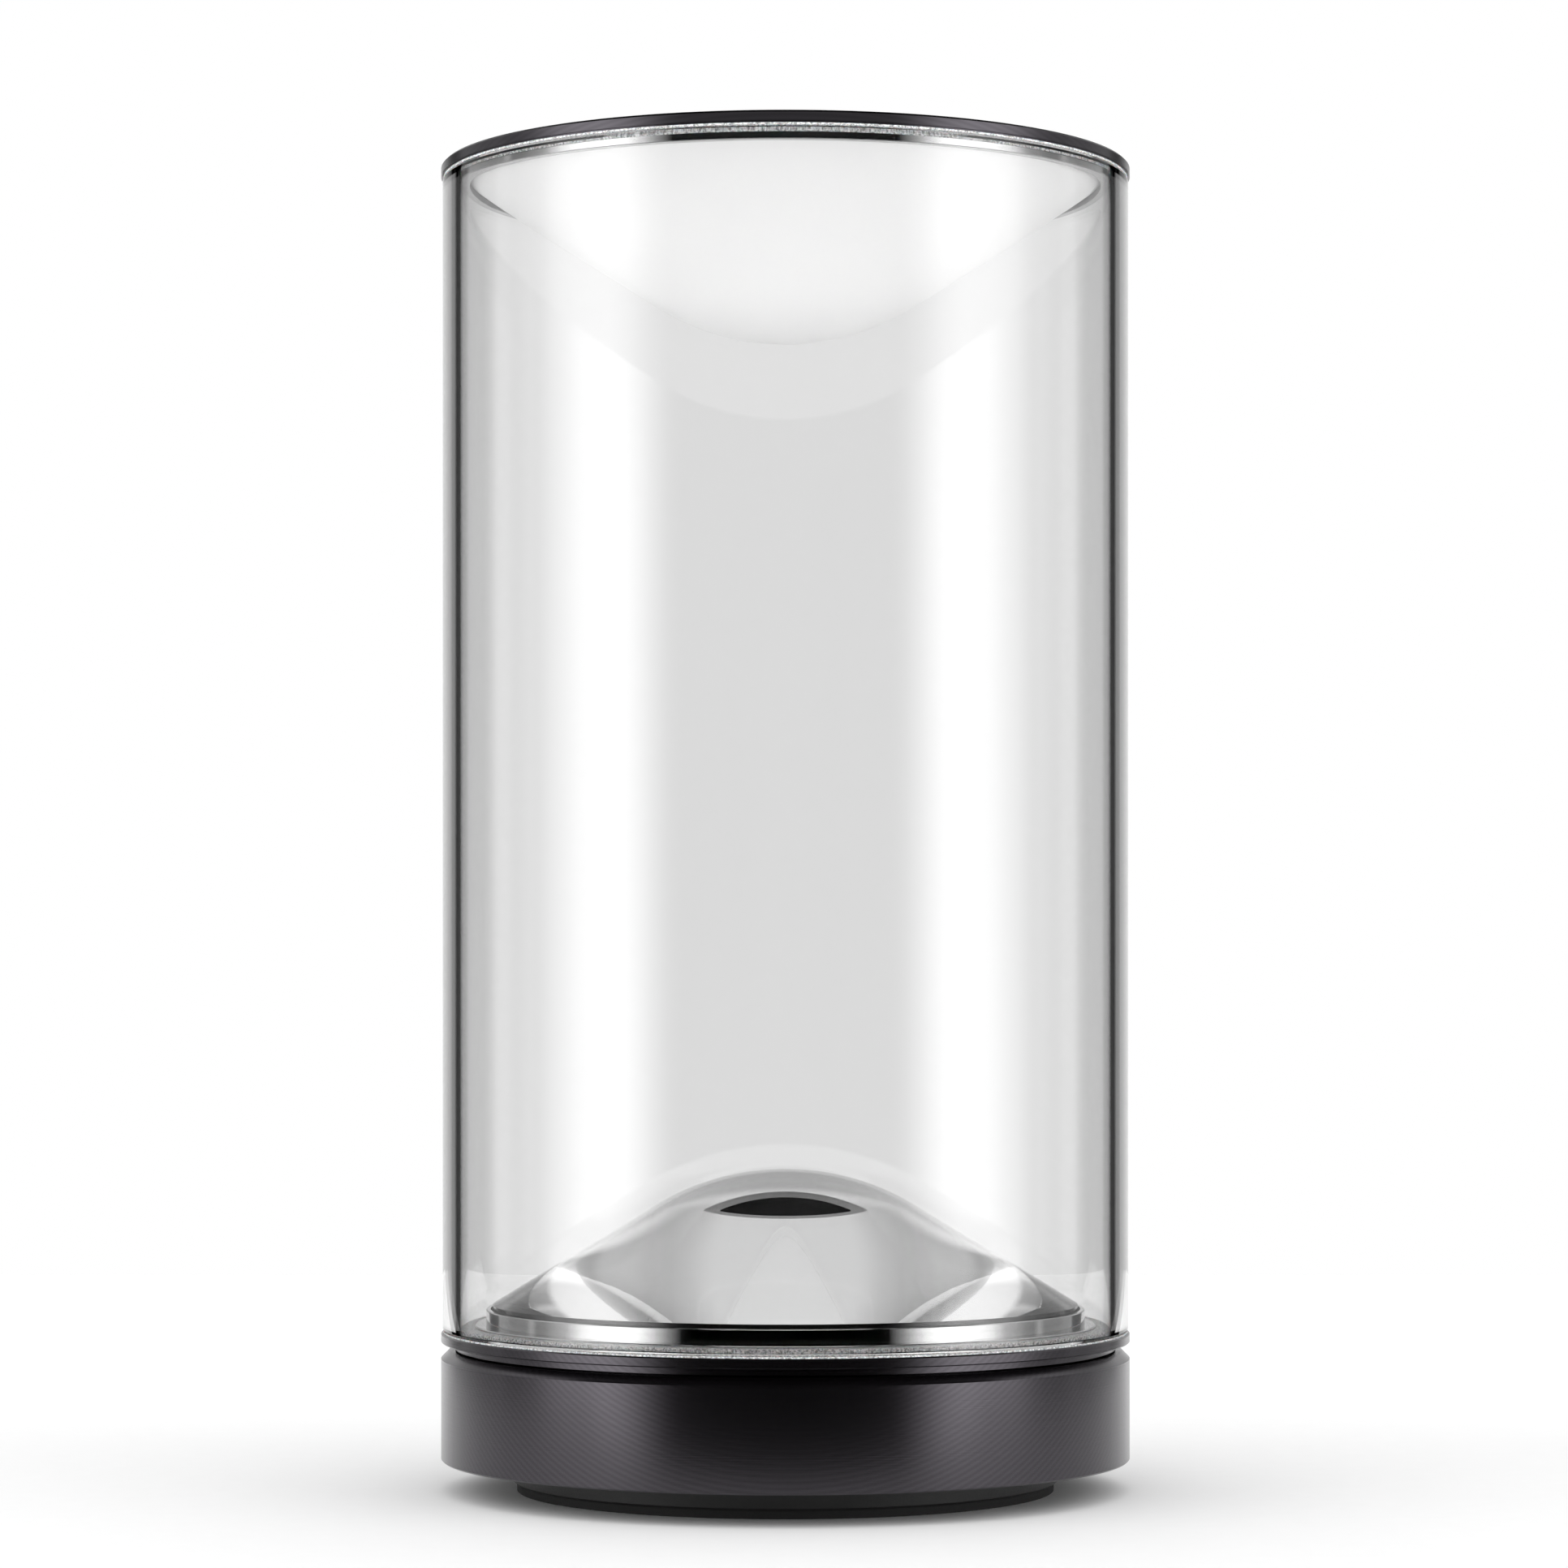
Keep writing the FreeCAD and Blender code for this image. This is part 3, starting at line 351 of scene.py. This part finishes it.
(_, _, lens_foot), (lens_r, _, lens_tip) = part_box("lens")
lens_section = flare(lens_tip, 1, LENS_TIP_R, LENS_SLOPE, lens_r)
lens_section += [(lens_r, lens_foot), (0, lens_foot)]
lens = spin_round("polished_lens", lens_section, "lens", closed=False)
lens.data.materials.append(
    clear_solid("polished_acrylic", ACRYLIC_INDEX, grey(0.975), grey(0.985)))
coat(moulded("sleeve_black", grey(0.003), grey(0.005), 0.0004, 0.6), "lens_sleeve")


# ---- reflector cone --------------------------------------------------------------------------
# A cone spun from aluminium sheet hangs from the cap with its round tip down. It is sprayed with
# satin white enamel, which has a very fine orange peel and spreads the light that the lens sends up.
CONE_TIP_R = 42.7 * MM
CONE_SLOPE = 32.28
CONE_WALL = 1.5 * MM
CONE_INSET = 1.6 * MM


def white_enamel():
    material, tree, shader = new_finish("white_enamel")
    place = add(tree, "TexCoord").outputs["Object"]
    peel = add(tree, "TexNoise", {"Vector": place, "Scale": 900.0, "Detail": 2.0})
    cloud = add(tree, "TexNoise", {"Vector": place, "Scale": 25.0, "Detail": 3.0})
    tree.links.new(blend_colour(tree, cloud.outputs[0], grey(0.80), grey(0.83)),
                   shader.inputs["Base Color"])
    tree.links.new(spread(tree, peel.outputs[0], 0.5, 0.62), shader.inputs["Roughness"])
    raise_grain(tree, shader, peel.outputs[0], 0.00001)
    return material


(_, _, cone_tip), (_, _, cone_foot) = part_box("reflector_cone")
cone_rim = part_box("spigot_ring")[1].x - CONE_INSET
bore_rim = cone_rim - CONE_WALL
outside = flare(cone_tip, -1, CONE_TIP_R, CONE_SLOPE, cone_rim)
inside = flare(cone_tip + CONE_WALL, -1, CONE_TIP_R - CONE_WALL, CONE_SLOPE, bore_rim)
cone_section = outside + [(cone_rim, cone_foot), (bore_rim, cone_foot)] + inside[::-1]
cone = spin_round("enamelled_cone", cone_section, "reflector_cone", closed=False)
cone.data.materials.append(white_enamel())


# ---- bright rings ----------------------------------------------------------------------------
# A polished stepped ring holds the lens in the flange, and another centres the glass on the cap.
# Both are turned with crisp edges that are just broken with a fine chamfer.
coat(turned_metal("polished_silver", grey(0.46), grey(0.52), 0.0006, 0.02, 0.05,
                  depth=0.0001 * MM), "lens_bezel", "spigot_ring")


# ---- frosted rings and gaskets ---------------------------------------------------------------
# A frosted bead of sealant fills the corner between the glass and the bezel, and a thinner
# one holds the glass to the cap. Both ends of the tube are bedded in the same silicone. Its colour
# carries painted glints as light flecks on a darker ground; the uneven gloss and fine bumps on the
# same flecks are real.
def frosted():
    material, tree, shader = new_finish("frosted_silicone", Subsurface_Weight=0.25,
                                        Subsurface_Scale=0.001)
    place = add(tree, "TexCoord").outputs["Object"]
    glints_and_grain = add(tree, "TexNoise", {"Vector": place, "Scale": 2600.0, "Detail": 2.0,
                                     "Roughness": 0.7})
    glint_and_grain_mask = add(tree, "MapRange", {"Value": glints_and_grain.outputs[0], "From Min": 0.38,
                                   "From Max": 0.66}).outputs[0]
    # Painted glints: light flecks in the base colour. The same flecks also set the real gloss and
    # bumps.
    tree.links.new(blend_colour(tree, glint_and_grain_mask, grey(0.20), grey(0.78)), shader.inputs["Base Color"])
    tree.links.new(spread(tree, glint_and_grain_mask, 0.2, 0.5), shader.inputs["Roughness"])
    raise_grain(tree, shader, glint_and_grain_mask, 0.00005)
    return material


coat(frosted(), "glass_bead", "bond_ring", "lower_gasket", "upper_gasket")


# ---- glass tube ------------------------------------------------------------------------------
# Borosilicate tube, cut square and lightly bevelled, with a faint grey cast through the wall.
GLASS_WALL = 3.0 * MM
GLASS_BEVEL = 0.45 * MM
GLASS_INDEX = 1.47

(_, _, glass_low), (glass_r, _, glass_high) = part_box("glass_tube")
bore_r = glass_r - GLASS_WALL
glass_section = [
    (bore_r + GLASS_BEVEL, glass_low), (glass_r - GLASS_BEVEL, glass_low),
    (glass_r, glass_low + GLASS_BEVEL), (glass_r, glass_high - GLASS_BEVEL),
    (glass_r - GLASS_BEVEL, glass_high), (bore_r + GLASS_BEVEL, glass_high),
    (bore_r, glass_high - GLASS_BEVEL), (bore_r, glass_low + GLASS_BEVEL)]
glass = spin_round("glass_wall", glass_section, "glass_tube")
glass.data.materials.append(clear_solid("clear_glass", GLASS_INDEX, grey(0.895), grey(0.905)))


# ---- studio: pale floor, soft light and camera -----------------------------------------------
# A pale table in a tent of soft light: white behind, a black flag at each back edge, a tall light
# at each side, dark overhead. Only bright and clear pieces see the tent. Matt pieces are lit by
# an even sky that is brighter from below, and the background seen directly is plain white.
FLOOR_HALF = (0.24, 0.34, 1.0)
FLOOR_MIDDLE = (0.0, 0.215, 0.0)
TABLE_LINE = -0.155
MATT_SKY_ABOVE = 1.18
MATT_SKY_BELOW = 3.8
BACKGROUND = 1.0


def pale_floor():
    mesh = bmesh.new()
    bmesh.ops.create_grid(mesh, x_segments=1, y_segments=1, size=1.0)
    bmesh.ops.scale(mesh, vec=FLOOR_HALF, verts=mesh.verts)
    bmesh.ops.translate(mesh, vec=FLOOR_MIDDLE, verts=mesh.verts)
    data = bpy.data.meshes.new("pale_floor")
    mesh.to_mesh(data)
    mesh.free()
    floor = bpy.data.objects.new("pale_floor", data)
    bpy.context.scene.collection.objects.link(floor)
    material, tree, shader = new_finish("floor_paper", Roughness=0.9, Specular_IOR_Level=0.0)
    place = add(tree, "TexCoord").outputs["Object"]
    fibre = add(tree, "TexNoise", {"Vector": place, "Scale": 220.0, "Detail": 3.0})
    tree.links.new(blend_colour(tree, fibre.outputs[0], grey(0.84), grey(0.86)),
                   shader.inputs["Base Color"])
    data.materials.append(material)
    floor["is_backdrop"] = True


def maths(tree, operation, first, second=None):
    feeds = {0: first} if second is None else {0: first, 1: second}
    return add(tree, "Math", feeds, operation=operation).outputs[0]


def steps_ramp(tree, factor, stops):
    """A grey ramp with the given (place, value) stops."""
    ramp = add(tree, "ValToRGB", {0: factor})
    stripe = ramp.color_ramp.elements
    while len(stripe) > 1:
        stripe.remove(stripe[-1])
    stripe[0].position, stripe[0].color = stops[0][0], grey(stops[0][1])
    for place, value in stops[1:]:
        stripe.new(place).color = grey(value)
    return ramp.outputs[0]


def soft_light():
    """Sky by heading, in half turns from the camera's side, by height and by kind of surface."""
    world = bpy.data.worlds.new("studio")
    bpy.context.scene.world = world
    world.use_nodes = True
    tree = world.node_tree
    tree.nodes.clear()
    way = add(tree, "SeparateXYZ", {0: add(tree, "TexCoord").outputs["Generated"]})
    away = maths(tree, "MULTIPLY", way.outputs["Y"], -1.0)
    heading = maths(tree, "ABSOLUTE", maths(tree, "ARCTAN2", way.outputs["X"], away))
    turn = maths(tree, "DIVIDE", heading, math.pi)
    climb = maths(tree, "DIVIDE", maths(tree, "ARCSINE", way.outputs["Z"]), math.pi / 2)
    tilt = maths(tree, "ABSOLUTE", climb)
    level = steps_ramp(tree, turn, [
        (0.0, 0.0), (0.215, 0.0), (0.25, 0.7), (0.30, 2.3), (0.34, 3.0), (0.40, 2.7), (0.455, 2.0),
        (0.50, 0.7), (0.56, 0.38), (0.59, 0.38), (0.61, 0.8), (0.63, 0.42), (0.755, 0.5),
        (0.77, 0.0), (0.80, 0.0), (0.808, 0.04), (0.815, 0.0), (0.825, 0.0), (0.84, 0.3),
        (0.93, 0.8), (0.95, 1.0), (1.0, 1.0)])
    raised = steps_ramp(tree, turn, [(0.0, 1.2), (0.21, 1.2), (0.27, 2.4), (0.46, 2.4),
                                     (0.52, 1.1), (1.0, 1.0)])
    off_level = steps_ramp(tree, tilt, [(0.0, 0.0), (0.11, 0.0), (0.16, 1.0), (1.0, 1.0)])
    around = blend_colour(tree, off_level, level, raised)
    behind = steps_ramp(tree, climb, [(0.0, 1.0), (0.14, 1.0), (0.19, 0.6), (0.47, 0.24),
                                      (0.575, 0.03), (1.0, 0.02)])
    beside = steps_ramp(tree, climb, [(0.0, 1.0), (0.545, 1.0), (0.575, 0.03), (1.0, 0.02)])
    back = steps_ramp(tree, turn, [(0.0, 0.0), (0.72, 0.0), (0.79, 1.0), (1.0, 1.0)])
    fade = blend_colour(tree, back, beside, behind)
    room = maths(tree, "MULTIPLY", around, fade)
    table = steps_ramp(tree, turn, [(0.0, 0.0), (0.2, 0.0), (0.3, 1.0), (0.64, 1.0),
                                    (0.73, 0.55), (0.88, 0.6), (0.96, 1.0), (1.0, 1.0)])
    low = maths(tree, "LESS_THAN", way.outputs["Z"], TABLE_LINE)
    room = blend_colour(tree, low, room, table)
    below = maths(tree, "LESS_THAN", way.outputs["Z"], 0.0)
    fill = blend_colour(tree, below, grey(MATT_SKY_ABOVE), grey(MATT_SKY_BELOW))
    path = add(tree, "LightPath")
    matt = maths(tree, "GREATER_THAN", path.outputs["Diffuse Depth"], 0.5)
    shade = blend_colour(tree, matt, room, fill)
    shade = blend_colour(tree, path.outputs["Is Camera Ray"], shade, grey(BACKGROUND))
    sky = add(tree, "Background", {"Color": shade})
    out = tree.nodes.new("ShaderNodeOutputWorld")
    tree.links.new(sky.outputs[0], out.inputs[0])


def camera():
    data = bpy.data.cameras.new("camera")
    eye = bpy.data.objects.new("camera", data)
    bpy.context.scene.collection.objects.link(eye)
    data.sensor_width = 36.0
    data.lens = 108.38
    data.shift_x = -0.0009
    data.shift_y = 0.1118
    eye.location = (0.0, -0.8247, 0.0923)
    eye.rotation_euler = (math.pi / 2, 0.0, 0.0)
    bpy.context.scene.camera = eye


pale_floor()
soft_light()
camera()
bpy.context.scene.view_settings.view_transform = "Standard"


def plain(value):
    return value if isinstance(value, (int, float)) else [plain(v) for v in value]


{"cad": plain(cad_bounds), "visual": plain(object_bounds())}
